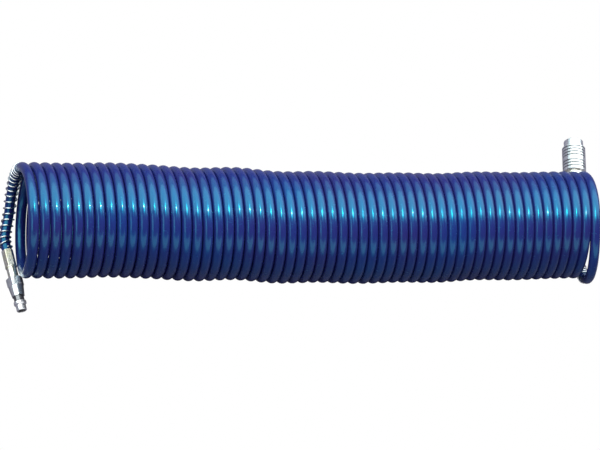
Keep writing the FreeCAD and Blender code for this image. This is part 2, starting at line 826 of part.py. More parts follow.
# Stations of the socket, from the tip of the barbed shank of its stem.
adapter_start = neck_start + S.socket_neck_len
tapped_floor = adapter_start + S.thread_len + S.thread_seal_thick
cup_floor = tapped_floor + S.adapter_wall
adapter_hex_end = adapter_start + S.adapter_hex_len
skirt_end = adapter_hex_end + S.adapter_skirt_len
body_rear = cup_floor + S.body_seal_thick
shoulder_end = skirt_end + S.body_shoulder_len
sleeve_rear = adapter_hex_end + S.sleeve_travel + S.spring_seat_gap
sleeve_front = sleeve_rear + S.sleeve_len
ball_station = sleeve_front - S.ball_setback
plug_tip_station = ball_station - S.lock_groove_len / 2 - S.collar_len - S.nose_len
valve_front = plug_tip_station + S.valve_travel
seat_station = valve_front - S.valve_nose_proud
mouth_step = ball_station - S.lock_groove_len / 2 - S.collar_len - S.collar_stop_gap
nose_ring_start = sleeve_front + S.spring_seat_gap
mouth_end = nose_ring_start + S.nose_ring_len
body_r = S.body_d / 2
skirt_r = S.adapter_skirt_d / 2


def socket_adapter():
    """Hexagon that joins the socket's body to the swivel's thread."""
    round_r = across_corners(S.adapter_hex_flats) / 2
    cup_r = S.body_thread_d / 2 + S.thread_clearance
    passage_r = S.adapter_passage_d / 2
    edge = S.edge_chamfer
    body = turned_body("socket_adapter", [
        (adapter_start, tapped_r),
        (adapter_start, round_r - edge * 2),
        (adapter_start + edge, round_r),
        (adapter_hex_end - edge, round_r),
        (adapter_hex_end, round_r - edge * 2),
        (adapter_hex_end, skirt_r),
        (skirt_end, skirt_r),
        (skirt_end, cup_r),
        (cup_floor, cup_r),
        (cup_floor, passage_r),
        (tapped_floor, passage_r),
        (tapped_floor, tapped_r),
    ])
    doc.recompute()
    mill_hexagon(
        body, "adapter_hexagon", S.adapter_hex_flats, adapter_hex_end, S.adapter_hex_len,
        round_r * 2,
    )
    return body


def socket_body():
    """Tube that carries the balls, the sleeve and the valve."""
    chamber_r = S.chamber_d / 2
    rear_r = S.body_thread_d / 2
    front_r = S.body_front_d / 2
    seal_start = seat_station + S.mouth_seal_land
    seal_end = seal_start + S.mouth_seal_d + S.axial_gap
    seal_root = S.nose_d / 2 + S.mouth_seal_d
    hole_r = ball_r + S.ball_clearance
    entry_r = mouth_r + S.mouth_relief
    entry_start = ball_station + hole_r + S.ball_land + S.mouth_relief
    edge = S.edge_chamfer
    body = turned_body("socket_body", [
        (body_rear, chamber_r),
        (body_rear, rear_r),
        (skirt_end, rear_r),
        (skirt_end, skirt_r),
        (shoulder_end, skirt_r),
        (shoulder_end, body_r),
        (nose_ring_start, body_r),
        (nose_ring_start, front_r),
        (mouth_end - edge, front_r),
        (mouth_end, front_r - edge),
        (mouth_end, entry_r + edge / 2),
        (mouth_end - edge / 2, entry_r),
        (entry_start, entry_r),
        (entry_start - S.mouth_relief, mouth_r),
        (mouth_step, mouth_r),
        (mouth_step, seal_bore_r),
        (seal_end, seal_bore_r),
        (seal_end, seal_root),
        (seal_start, seal_root),
        (seal_start, seal_bore_r),
        (seat_station, seal_bore_r),
        (seat_station, chamber_r),
    ])
    doc.recompute()
    sketch = body.newObject("Sketcher::SketchObject", "ball_hole_sketch")
    sketch.AttachmentSupport = (origin_feature(body, "XY_Plane"), [""])
    sketch.MapMode = "FlatFace"
    sketch.addGeometry(Part.Circle(Vector(ball_station.number, 0, 0), Vector(0, 0, 1), hole_r.number))
    sketch.addConstraint(Sketcher.Constraint("PointOnObject", 0, 3, -1))
    across = sketch.addConstraint(Sketcher.Constraint("DistanceX", -1, 1, 0, 3, ball_station.number))
    sketch.setExpression(f"Constraints[{across}]", ball_station.text)
    size = sketch.addConstraint(Sketcher.Constraint("Radius", 0, hole_r.number))
    sketch.setExpression(f"Constraints[{size}]", hole_r.text)
    hole = body.newObject("PartDesign::Pocket", "ball_hole")
    hole.Profile = sketch
    hole.Type = "Length"
    hole.Reversed = True
    hole.Length = S.body_d.number
    hole.setExpression("Length", S.body_d.text)
    sketch.Visibility = False
    body.Tip = hole
    round_pattern(body, hole, "ball_holes", S.ball_count)
    return body


def body_seal():
    inner = S.chamber_d / 2
    outer = S.body_thread_d / 2
    return turned_body("socket_body_seal", [
        (cup_floor, inner), (cup_floor, outer), (body_rear, outer), (body_rear, inner),
    ])


def nose_ring():
    inner = S.body_front_d / 2 + S.thread_clearance
    outer = S.nose_ring_d / 2
    edge = S.edge_chamfer
    return turned_body("socket_nose_ring", [
        (nose_ring_start, inner),
        (nose_ring_start, outer - edge),
        (nose_ring_start + edge, outer),
        (mouth_end - edge * 1.6, outer),
        (mouth_end, outer - edge * 1.6),
        (mouth_end, inner),
    ])


def locking_sleeve():
    """Grip sleeve: a land over the balls, then a ramp that lets them out as it slides back."""
    outer = S.sleeve_d / 2
    grip = outer - S.rib_depth
    edge = S.edge_chamfer
    skirt = skirt_r + S.sleeve_clearance
    chamber = S.sleeve_chamber_d / 2
    chamber_start = sleeve_rear + S.sleeve_skirt_len
    chamber_end = chamber_start + S.sleeve_chamber_len
    ramp_end = ball_station + S.sleeve_travel
    corners = [
        (sleeve_rear, skirt),
        (sleeve_rear, outer - edge),
        (sleeve_rear + edge, outer),
    ]
    front_set = sleeve_front - S.rib_first
    rear_set = front_set - S.rib_pitch * (S.rib_front_count.number - 1) - S.rib_band
    for first, count in ((rear_set, S.rib_rear_count), (front_set, S.rib_front_count)):
        for groove in reversed(range(int(count.number))):
            end = first - S.rib_pitch * groove
            start = end - S.rib_width
            corners += [
                (start, outer),
                (start + S.rib_depth / 2, grip),
                (end - S.rib_depth / 2, grip),
                (end, outer),
            ]
    corners += [
        (sleeve_front - edge, outer),
        (sleeve_front, outer - edge),
        (sleeve_front, land_r + S.ball_travel),
        (ramp_end, land_r + S.ball_travel),
        (ball_station, land_r),
        (chamber_end, land_r),
        (chamber_end, chamber),
        (chamber_start, chamber),
        (chamber_start, skirt),
    ]
    return turned_body("locking_sleeve", corners)


def valve():
    """Check valve that the pushed-in plug opens."""
    nose_r = S.valve_nose_d / 2
    head_r = S.valve_head_d / 2
    stem_r = S.valve_stem_d / 2
    seal_rear = seat_station - S.seat_gap - S.valve_seal_thick
    head_rear = seal_rear - S.valve_head_len
    edge = S.edge_chamfer
    return turned_body("valve", [
        (head_rear - S.valve_stem_len, ZERO),
        (head_rear - S.valve_stem_len, stem_r - edge),
        (head_rear - S.valve_stem_len + edge, stem_r),
        (head_rear, stem_r),
        (head_rear, head_r),
        (seal_rear, head_r),
        (seal_rear, nose_r),
        (valve_front - edge, nose_r),
        (valve_front, nose_r - edge),
        (valve_front, ZERO),
    ])


def valve_seal():
    inner = S.valve_nose_d / 2
    outer = S.valve_head_d / 2
    front = seat_station - S.seat_gap
    rear = front - S.valve_seal_thick
    return turned_body("valve_seal", [(rear, inner), (rear, outer), (front, outer), (front, inner)])


def straight_spring(frame, start, end, curls, mean_d, wire_d):
    """A pressure spring between two stations of an end's axis."""
    first = start.number + wire_d.number / 2 + S.spring_seat_gap.number
    last = end.number - wire_d.number / 2 - S.spring_seat_gap.number
    slope_room = wire_d.number * (last - first) / (curls.number * math.pi * mean_d.number)
    first += slope_room
    last -= slope_room
    axis = Part.LineSegment(Vector(0, 0, 0), Vector(end.number, 0, 0)).toShape()
    guide = Guide(Part.Wire([axis]))
    pitch = (last - first) / curls.number
    shape, wire = wound_spring(
        guide, first, curls.number, pitch, mean_d.number / 2, wire_d.number
    )
    shape.transformShape(frame.toMatrix())
    return shape, wire


def locking_balls():
    balls = []
    for index in range(int(S.ball_count.number)):
        angle = 360.0 * index / S.ball_count.number
        ball = doc.addObject("Part::Sphere", f"locking_ball_{index + 1}")
        ball.Label = f"locking_ball_{index + 1}"
        ball.setExpression("Radius", ball_r.text)
        spoke = Rotation(Vector(1, 0, 0), angle).multVec(Vector(0, 0, ball_place_r.number))
        ball.Placement = socket_frame.multiply(
            Placement(Vector(ball_station.number, 0, 0) + spoke, Rotation())
        )
        balls.append(ball)
    return balls


def build_end(prefix, frame, neck_len):
    """The swivel, which is alike at both ends."""
    turned = [
        swivel_stem(f"{prefix}_barbed_stem", neck_len),
        thrust_washer(f"{prefix}_thrust_washer"),
        swivel_neck(f"{prefix}_swivel_neck", neck_len),
        snap_ring(f"{prefix}_snap_ring", neck_len),
        thread_seal(f"{prefix}_thread_seal", neck_len),
    ]
    for body in turned:
        body.Placement = frame
    return turned + [swivel_seal(f"{prefix}_swivel_o_ring", frame)]


coil_piece = add_wound("hose_coil", hose_coil(), S.coil_turns.number, S.hose_outer_d)
plug_tail, plug_tail_wire = hose_piece(plug_tail_knots)
socket_tail, socket_tail_wire = hose_piece(socket_tail_knots)
tail_pieces = []
for tail_label, tail_shape in (("hose_tail_plug", plug_tail), ("hose_tail_socket", socket_tail)):
    tail = doc.addObject("Part::Feature", tail_label)
    tail.Label = tail_label
    tail.Shape = tail_shape
    tail_pieces.append(tail)

guard_first = S.guard_end_gap.number + S.guard_wire_d.number
back_from_socket = Part.Wire([edge.reversed() for edge in reversed(socket_tail_wire.Edges)])
guards = [
    add_wound(label, wound_spring(
        Guide(wire), guard_first, S.guard_curls.number, S.guard_pitch.number,
        guard_r.number, S.guard_wire_d.number,
    ), S.guard_curls.number, S.guard_wire_d)
    for label, wire in (
        ("plug_spring_guard", plug_tail_wire), ("socket_spring_guard", back_from_socket),
    )
]

plug_pieces = build_end("plug", plug_frame, S.plug_neck_len)
socket_pieces = build_end("socket", socket_frame, S.socket_neck_len)
nipple = plug_nipple()
nipple.Placement = plug_frame
plug_pieces.append(nipple)
for body in (
    socket_adapter(), socket_body(), body_seal(), nose_ring(), locking_sleeve(), valve(),
    valve_seal(),
):
    body.Placement = socket_frame
    socket_pieces.append(body)

seal_section = S.mouth_seal_d / 2
socket_pieces.append(round_seal(
    "mouth_o_ring",
    S.nose_d / 2 + seal_section,
    seal_section - S.axial_gap / 4,
    socket_frame,
    seat_station + S.mouth_seal_land + (S.mouth_seal_d + S.axial_gap) / 2,
))
valve_head_rear = seat_station - S.seat_gap - S.valve_seal_thick - S.valve_head_len
socket_pieces.append(add_wound("valve_spring", straight_spring(
    socket_frame, cup_floor, valve_head_rear, S.valve_spring_curls, S.valve_spring_d,
    S.valve_spring_wire,
), S.valve_spring_curls.number, S.valve_spring_wire))
socket_pieces.append(add_wound("sleeve_spring", straight_spring(
    socket_frame, shoulder_end, sleeve_rear + S.sleeve_skirt_len + S.sleeve_chamber_len,
    S.sleeve_spring_curls, S.sleeve_spring_d, S.sleeve_spring_wire,
), S.sleeve_spring_curls.number, S.sleeve_spring_wire))
socket_pieces += locking_balls()

pieces = [coil_piece] + tail_pieces + guards + plug_pieces + socket_pieces
doc.recompute()


def settle_origin():
    """Moves every piece so that the origin is the bottom centre of the whole."""
    low = Vector(math.inf, math.inf, 0)
    high = Vector(-math.inf, -math.inf, 0)
    for piece in pieces[1:]:
        for point in piece.Shape.tessellate(0.05)[0]:
            low = Vector(min(low.x, point.x), min(low.y, point.y), 0)
            high = Vector(max(high.x, point.x), max(high.y, point.y), 0)
    shift = (low + high) * -0.5
    for piece in pieces:
        place = piece.Placement
        piece.Placement = Placement(place.Base + shift, place.Rotation)
    return shift


def check_document():
    """Stops on any object that failed or any piece without one whole solid."""
    for item in doc.Objects:
        if "Invalid" in item.State or "Error" in item.State:
            raise RuntimeError(f"{item.Label} failed: {item.State}")
    for piece in pieces:
        shape = piece.Shape
        if shape.isNull() or not shape.isValid() or len(shape.Solids) != 1:
            raise RuntimeError(f"{piece.Label} is not one valid solid")


shift = settle_origin()
doc.recompute()
check_document()

os.makedirs("parts", exist_ok=True)
for piece in pieces:
    piece.Shape.exportStep(f"parts/{piece.Label}.step")

for label, wire, turns, bar in WOUND:
    print(f"{label}: length {wire.Length:.1f}, least gap to itself {least_gap(wire, bar, turns):.2f}")
for label, wire, shape in (
    ("hose_tail_plug", plug_tail_wire, plug_tail), ("hose_tail_socket", socket_tail_wire, socket_tail),
):
    ring = math.pi * (hose_r.number ** 2 - (S.hose_bore_d.number / 2) ** 2)
    radii = [round(edge.Curve.Radius, 1) for edge in wire.Edges if hasattr(edge.Curve, "Radius")]
    print(f"{label}: length {wire.Length:.1f}, radii {radii},"
          f" volume {shape.Volume:.0f} for {ring * wire.Length:.0f}")
whole = sum(wire.Length for wire in (plug_tail_wire, socket_tail_wire, WOUND[0][1]))
print(f"hose length {whole:.0f}")
print(f"origin shift {shift}")
for name, frame, station in (
    ("plug barb tip", plug_frame, ZERO), ("plug tip", plug_frame, neck_start + S.plug_neck_len
     + S.plug_hex_len + S.plug_cone_len + S.lock_groove_len + S.collar_len + S.nose_len),
    ("socket barb tip", socket_frame, ZERO), ("socket balls", socket_frame, ball_station),
    ("socket mouth", socket_frame, mouth_end),
):
    place = frame.multVec(Vector(station.number, 0, 0)) + shift
    print(f"{name}: {place.x:.3f}, {place.y:.3f}, {place.z:.3f}")
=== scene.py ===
import logging
import math
from dataclasses import dataclass
from enum import Enum
from typing import Dict, List, Sequence, Tuple

import bmesh
import bpy
import numpy as np
from mathutils import Matrix, Vector


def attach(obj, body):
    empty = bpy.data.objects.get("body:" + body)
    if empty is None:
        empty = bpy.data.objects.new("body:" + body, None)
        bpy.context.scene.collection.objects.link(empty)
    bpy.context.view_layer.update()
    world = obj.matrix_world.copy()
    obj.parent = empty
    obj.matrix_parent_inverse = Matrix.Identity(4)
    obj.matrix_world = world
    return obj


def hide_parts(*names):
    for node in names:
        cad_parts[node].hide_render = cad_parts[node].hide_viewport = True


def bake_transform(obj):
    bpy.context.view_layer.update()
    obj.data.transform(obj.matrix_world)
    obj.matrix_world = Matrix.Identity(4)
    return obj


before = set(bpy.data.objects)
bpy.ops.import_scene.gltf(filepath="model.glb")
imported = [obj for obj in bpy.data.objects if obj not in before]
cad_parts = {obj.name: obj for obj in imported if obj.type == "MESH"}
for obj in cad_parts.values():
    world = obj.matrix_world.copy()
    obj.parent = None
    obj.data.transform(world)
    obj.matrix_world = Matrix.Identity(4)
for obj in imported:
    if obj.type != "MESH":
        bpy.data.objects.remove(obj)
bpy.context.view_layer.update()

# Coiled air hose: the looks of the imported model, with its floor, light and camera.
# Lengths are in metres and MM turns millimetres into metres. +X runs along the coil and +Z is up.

MM = 0.001
LOG = logging.getLogger("coiled_air_hose")

Color = Tuple[float, float, float]


class Body(Enum):
    """CAD bodies on which the pieces made here ride."""

    ROOT = "root"
    SOCKET_END = "socket_end"
    PLUG = "plug"
    SOCKET = "socket"
    SLEEVE = "sleeve"


@dataclass(frozen=True)
class HoseSizes:
    """Real sizes of the hose and its route, as the CAD model has them."""

    outer_r: float = 5.0 * MM
    coil_swell: float = 0.27 * MM
    bore_r: float = 3.25 * MM
    barb_room: float = 16.0 * MM
    coil_r: float = 52.75 * MM
    pitch: float = 10.9 * MM
    turns: int = 56
    lean_plug_end: float = math.radians(1.85)
    lean_socket_end: float = math.radians(-7.7)
    swing: float = 4.8 * MM
    end_swing: float = 1.6 * MM
    end_spread: float = 1.4 * MM
    end_turns: float = 5.0
    flat: float = 0.5 * MM
    plug_tail_start: float = 0.10
    socket_tail_start: float = 55.42
    plug_tail_shift: float = 1.5 * MM
    socket_tail_shift: float = 2.9 * MM
    socket_tail_bulge: float = 8.0 * MM
    tail_lift: float = 2.55 * MM
    plug_side: float = -2.0 * MM
    plug_reach: float = 14.3 * MM
    plug_height: float = 8.9 * MM
    plug_yaw: float = math.radians(10.0)
    socket_side: float = 5.0 * MM
    socket_reach: float = 44.9 * MM
    socket_height: float = 13.2 * MM
    socket_yaw: float = math.radians(8.6)
    sway_step: float = 4.0
    sway: Tuple[float, ...] = (
        -3.5, -3.6, -2.3, -3.7, -6.2, -4.8, -8.4, -7.4, -8.6, -7.1, -7.1, -4.1, -4.0, -2.2, -1.0,
    )
    origin: Tuple[float, float] = (-9.537 * MM, -22.207 * MM)


@dataclass(frozen=True)
class GuardSizes:
    """Real sizes of the spring guards."""

    wire_r: float = 0.8 * MM
    curl_r: float = 5.95 * MM
    pitch: float = 6.5 * MM
    curls: int = 16
    first: float = 1.9 * MM
    closing: float = 0.0875


HOSE = HoseSizes()
GUARD = GuardSizes()


def smooth(share: float) -> float:
    """Eases a share from 0 to 1.

    Args:
        share: Any number; it is held between 0 and 1.

    Returns:
        The eased share.
    """
    share = min(1.0, max(0.0, share))
    return share * share * (3.0 - 2.0 * share)


class HoseRoute:
    """The line of the hose, from the plug's stem through the coil to the socket's stem."""

    POINTS_PER_TURN = 24
    FIRST_COIL_TURN = -0.17
    LAST_COIL_TURN = 55.74
    CURVE_STEPS = 3
    PLUG_EXIT = (0.0, 5.0, 14.0)
    SOCKET_EXIT = (18.0, 7.0, 0.0)

    def __init__(self, sizes: HoseSizes) -> None:
        self.sizes = sizes
        self.plug_axis = Vector((math.sin(sizes.plug_yaw), -math.cos(sizes.plug_yaw), 0.0))
        self.socket_axis = Vector((math.sin(sizes.socket_yaw), math.cos(sizes.socket_yaw), 0.0))
        bottom = self.coil_point(-0.25)
        self.plug_face = self.placed(
            bottom.x + sizes.plug_side, -sizes.plug_reach, sizes.plug_height
        )
        bottom = self.coil_point(self.LAST_COIL_TURN)
        self.socket_face = self.placed(
            bottom.x + sizes.socket_side, sizes.socket_reach, sizes.socket_height
        )

    def placed(self, x: float, y: float, z: float) -> Vector:
        """Moves a point from the coil's own origin to the frame's.

        Args:
            x: Distance along the coil from its middle.
            y: Distance across the coil from its axis.
            z: Height above the surface.

        Returns:
            The point in the frame.
        """
        return Vector((x + self.sizes.origin[0], y + self.sizes.origin[1], z))

    def sway_at(self, turn: float) -> float:
        """Sideways place of the lying coil's axis at a turn.

        Args:
            turn: Place along the coil, in turns from the plug end.

        Returns:
            The distance across the coil.
        """
        sides = self.sizes.sway
        steps = min(len(sides) - 1.0, max(0.0, turn / self.sizes.sway_step))
        index = min(len(sides) - 2, int(steps))
        share = steps - index
        padded = (2.0 * sides[0] - sides[1], *sides, 2.0 * sides[-1] - sides[-2])
        before, here, there, after = padded[index:index + 4]
        return MM * (here + 0.5 * share * (
            there - before
            + share * (2.0 * before - 5.0 * here + 4.0 * there - after)
            + share * share * (3.0 * here - before - 3.0 * there + after)
        ))

    def end_share(self, turn: float) -> float:
        """Rises from 0 to 1 over the turns that are swung and drawn at the socket end.

        Args:
            turn: Place along the coil, in turns from the plug end.

        Returns:
            The share.
        """
        return smooth(1.0 - (self.sizes.turns - turn - 1.0) / self.sizes.end_turns)

    def drawn(self, turn: float) -> float:
        """Distance along X by which the tails and the last turns stand off the coil.

        Args:
            turn: Place along the coil, in turns from the plug end.

        Returns:
            The distance.
        """
        plug = smooth((0.45 - turn) / 0.7)
        socket = smooth((turn - self.sizes.turns + 0.67) / 0.24)
        shift = socket * self.sizes.socket_tail_shift - plug * self.sizes.plug_tail_shift
        return shift + self.sizes.end_spread * self.end_share(turn)

    def tail_bulge(self, turn: float) -> float:
        """Distance by which the socket tail swells out where it turns under the coil.

        Args:
            turn: Place along the coil, in turns from the plug end.

        Returns:
            The distance.
        """
        side = max(0.0, -math.cos(2.0 * math.pi * turn))
        share = smooth((turn - self.sizes.turns + 0.85) / 0.42)
        return self.sizes.socket_tail_bulge * side * share

    def tail_lift(self, turn: float) -> float:
        """Height by which a guarded tail is raised under the coil.

        Args:
            turn: Place along the coil, in turns from the plug end.

        Returns:
            The height.
        """
        plug = smooth((self.sizes.plug_tail_start - turn) / 0.35)
        socket = smooth((turn - self.sizes.socket_tail_start) / 0.25)
        return self.sizes.tail_lift * (plug + socket)

    def coil_point(self, turn: float, stretch: float = 1.0) -> Vector:
        """Point of the coil's helix, without the frame's origin.

        Args:
            turn: Place along the coil, in turns from the plug end.
            stretch: Factor on the radius, for the control points of a curve.

        Returns:
            The point.
        """
        size = self.sizes
        angle = 2.0 * math.pi * turn
        share = min(1.0, max(0.0, turn / size.turns))
        lean = size.lean_plug_end + (size.lean_socket_end - size.lean_plug_end) * turn / size.turns
        swing = size.swing * share ** 2 + size.end_swing * self.end_share(turn)
        radius = (size.coil_r - size.coil_swell) * stretch
        lift = self.tail_lift(turn) * max(0.0, -math.sin(angle))
        along = (turn - size.turns / 2.0) * size.pitch + self.drawn(turn)
        across = self.sway_at(turn) - self.tail_bulge(turn)
        height = size.coil_r * math.cos(lean) + size.outer_r - size.flat
        return Vector((
            along + radius * math.sin(angle) * math.sin(lean) + swing * math.cos(angle),
            across + radius * math.cos(angle),
            height + radius * math.sin(angle) * math.cos(lean) + lift,
        ))

    def control_points(self) -> List[Vector]:
        """Control points of the whole hose: straight exits, and the coil worked out by turns.

        Returns:
            The points in order from the plug's stem to the socket's.
        """
        stretch = 1.0 / math.cos(math.pi / self.POINTS_PER_TURN)
        plug_exit = [self.plug_face - self.plug_axis * back * MM for back in self.PLUG_EXIT]
        socket_exit = [
            self.socket_face - self.socket_axis * back * MM for back in self.SOCKET_EXIT
        ]
        steps = round((self.LAST_COIL_TURN - self.FIRST_COIL_TURN) * self.POINTS_PER_TURN)
        coil = []
        for step in range(steps + 1):
            point = self.coil_point(self.FIRST_COIL_TURN + step / self.POINTS_PER_TURN, stretch)
            coil.append(self.placed(point.x, point.y, point.z))
        return plug_exit + coil + socket_exit

    def read_points(self) -> np.ndarray:
        """Points of the hose's centreline, read from a smooth NURBS curve.

        Returns:
            Array of points, one row each.
        """
        controls = self.control_points()
        data = bpy.data.curves.new("hose_route", "CURVE")
        data.dimensions = "3D"
        data.resolution_u = self.CURVE_STEPS
        spline = data.splines.new("NURBS")
        spline.points.add(len(controls) - 1)
        for point, control in zip(spline.points, controls):
            point.co = (*control, 1.0)
        spline.order_u = 3
        spline.use_endpoint_u = True
        spline.resolution_u = self.CURVE_STEPS
        curve = bpy.data.objects.new("hose_route", data)
        bpy.context.scene.collection.objects.link(curve)
        bpy.context.view_layer.update()
        mesh = bpy.data.meshes.new_from_object(curve)
        points = np.array([vertex.co for vertex in mesh.vertices], float)
        bpy.data.meshes.remove(mesh)
        bpy.data.objects.remove(curve)
        bpy.data.curves.remove(data)
        return points


class Path:
    """A line of points with a frame that doesn't twist along it."""

    def __init__(self, points: np.ndarray) -> None:
        self.points = points
        steps = np.linalg.norm(np.diff(points, axis=0), axis=1)
        self.distances = np.r_[0.0, np.cumsum(steps)]
        self.length = float(self.distances[-1])
        tangents = np.gradient(points, axis=0)
        self.tangents = tangents / np.linalg.norm(tangents, axis=1)[:, None]
        self.normals = self.level_frame()

    def level_frame(self) -> np.ndarray:
        """Normals carried along the line without twist, from one that points up."""
        normals = np.zeros_like(self.points)
        normal = np.array([0.0, 0.0, 1.0])
        if abs(self.tangents[0][2]) > 0.9:
            normal = np.array([1.0, 0.0, 0.0])
        for index, tangent in enumerate(self.tangents):
            normal = normal - tangent * normal.dot(tangent)
            normal /= np.linalg.norm(normal)
            normals[index] = normal
        return normals

    def reversed(self) -> "Path":
        """The same line from its other end."""
        return Path(self.points[::-1].copy())

    def at(self, distances: np.ndarray) -> Tuple[np.ndarray, np.ndarray, np.ndarray]:
        """Points, normals and tangents at distances along the line.

        Args:
            distances: Distances from the first point.

        Returns:
            Three arrays, with one row for each distance.
        """
        def read(values: np.ndarray) -> np.ndarray:
            return np.stack(
                [np.interp(distances, self.distances, values[:, axis]) for axis in range(3)], 1
            )

        points = read(self.points)
        tangents = read(self.tangents)
        tangents /= np.linalg.norm(tangents, axis=1)[:, None]
        normals = read(self.normals)
        normals -= tangents * np.sum(normals * tangents, axis=1)[:, None]
        normals /= np.linalg.norm(normals, axis=1)[:, None]
        return points, normals, tangents


@dataclass
class Tube:
    """A closed round tube along a path, given as a list of rings."""

    path: Path
    distances: np.ndarray
    radii: np.ndarray
    sides: int

    def coordinates(self) -> np.ndarray:
        """Vertex places, ring by ring."""
        points, normals, tangents = self.path.at(self.distances)
        across = np.cross(tangents, normals)
        angles = np.arange(self.sides) * 2.0 * math.pi / self.sides
        rim = (
            normals[:, None, :] * np.cos(angles)[None, :, None]
            + across[:, None, :] * np.sin(angles)[None, :, None]
        )
        rings = points[:, None, :] + rim * self.radii[:, None, None]
        return rings.reshape(-1, 3)

    def build(self, name: str, coordinates: np.ndarray) -> bpy.types.Object:
        """Makes the mesh object.

        Args:
            name: Name of the object and its mesh.
            coordinates: Vertex places, ring by ring.

        Returns:
            The object, linked to the scene.
        """
        rings = len(self.distances)
        corner = np.arange(self.sides)
        after = (corner + 1) % self.sides
        start = (np.arange(rings - 1) * self.sides)[:, None]
        quads = np.stack([
            start + corner, start + after, start + self.sides + after, start + self.sides + corner,
        ], axis=2).reshape(-1, 4)
        faces = [tuple(int(v) for v in quad) for quad in quads]
        faces.append(tuple(int(v) for v in corner[::-1]))
        faces.append(tuple(int(v) for v in corner + (rings - 1) * self.sides))
        mesh = bpy.data.meshes.new(name)
        mesh.from_pydata(coordinates.tolist(), [], faces)
        mesh.update()
        mesh.shade_smooth()
        along = mesh.attributes.new("along", "FLOAT", "POINT")
        along.data.foreach_set("value", np.repeat(self.distances, self.sides).astype(np.float32))
        around = mesh.attributes.new("around", "FLOAT", "POINT")
        turns = np.tile(np.arange(self.sides) / self.sides, rings)
        around.data.foreach_set("value", np.sin(turns * 2.0 * math.pi).astype(np.float32))
        obj = bpy.data.objects.new(name, mesh)
        bpy.context.scene.collection.objects.link(obj)
        return obj


def sharpen(obj: bpy.types.Object, angle: float = math.radians(32.0)) -> None:
    """Shades an object smooth, with hard edges where its faces meet at more than an angle.

    Args:
        obj: The mesh object.
        angle: Least angle of a hard edge.
    """
    obj.data.shade_smooth()
    obj.data.set_sharp_from_angle(angle=angle)


class NodeBoard:
    """Small helper that builds a material's node tree."""

    def __init__(self, name: str) -> None:
        self.material = bpy.data.materials.new(name)
        self.material.use_nodes = True
        self.tree = self.material.node_tree
        self.shader = self.tree.nodes["Principled BSDF"]

    def add(self, kind: str, **values: object) -> bpy.types.Node:
        """Adds a node.

        Args:
            kind: Node type name.
            **values: Attributes of the node.

        Returns:
            The node.
        """
        node = self.tree.nodes.new(kind)
        for name, value in values.items():
            setattr(node, name, value)
        return node

    def link(self, output: bpy.types.NodeSocket, target: bpy.types.NodeSocket) -> None:
        """Links an output to an input."""
        self.tree.links.new(output, target)

    def set(self, name: str, value: object) -> None:
        """Sets a constant on the shader's own socket."""
        self.shader.inputs[name].default_value = value

    def object_place(self, scale: Sequence[float] = (1.0, 1.0, 1.0), turn: float = 0.0):
        """Object coordinates, turned about Z and scaled.

        Args:
            scale: Scale along each axis after the turn.
            turn: Angle about Z, in radians.

        Returns:
            The vector output.
        """
        place = self.add("ShaderNodeTexCoord")
        mapping = self.add("ShaderNodeMapping")
        mapping.inputs["Rotation"].default_value = (0.0, 0.0, turn)
        self.link(place.outputs["Object"], mapping.inputs["Vector"])
        stretch = self.add("ShaderNodeVectorMath", operation="MULTIPLY")
        stretch.inputs[1].default_value = tuple(scale)
        self.link(mapping.outputs["Vector"], stretch.inputs[0])
        return stretch.outputs["Vector"]

    def noise(self, place, scale: float, detail: float = 2.0, roughness: float = 0.5):
        """Noise texture over a place.

        Args:
            place: Vector output that drives it.
            scale: Noise scale, in grains for each metre.
            detail: Number of finer layers.
            roughness: Strength of the finer layers.

        Returns:
            The factor output.
        """
        texture = self.add("ShaderNodeTexNoise")
        texture.inputs["Scale"].default_value = scale
        texture.inputs["Detail"].default_value = detail
        texture.inputs["Roughness"].default_value = roughness
        self.link(place, texture.inputs["Vector"])
        return texture.outputs["Fac"]

    def ramp(self, factor, stops: Sequence[Tuple[float, Color]]):
        """Colour ramp over a factor.

        Args:
            factor: Output that drives it.
            stops: Positions with their colours.

        Returns:
            The colour output.
        """
        ramp = self.add("ShaderNodeValToRGB")
        elements = ramp.color_ramp.elements
        while len(elements) < len(stops):
            elements.new(0.5)
        for element, (position, color) in zip(elements, stops):
            element.position = position
            element.color = (*color, 1.0)
        self.link(factor, ramp.inputs["Fac"])
        return ramp.outputs["Color"]

    def spread(self, factor, low: float, high: float):
        """Maps a factor from 0..1 to a range."""
        spread = self.add("ShaderNodeMapRange")
        spread.inputs["To Min"].default_value = low
        spread.inputs["To Max"].default_value = high
        self.link(factor, spread.inputs["Value"])
        return spread.outputs["Result"]

    def bump(self, height, distance: float, strength: float = 1.0) -> None:
        """Drives the shader's normal by a height.

        Args:
            height: Output that gives the height, 0..1.
            distance: Real height of 1, in metres.
            strength: Share of the effect.
        """
        bump = self.add("ShaderNodeBump")
        bump.inputs["Distance"].default_value = distance
        bump.inputs["Strength"].default_value = strength
        self.link(height, bump.inputs["Height"])
        self.link(bump.outputs["Normal"], self.shader.inputs["Normal"])


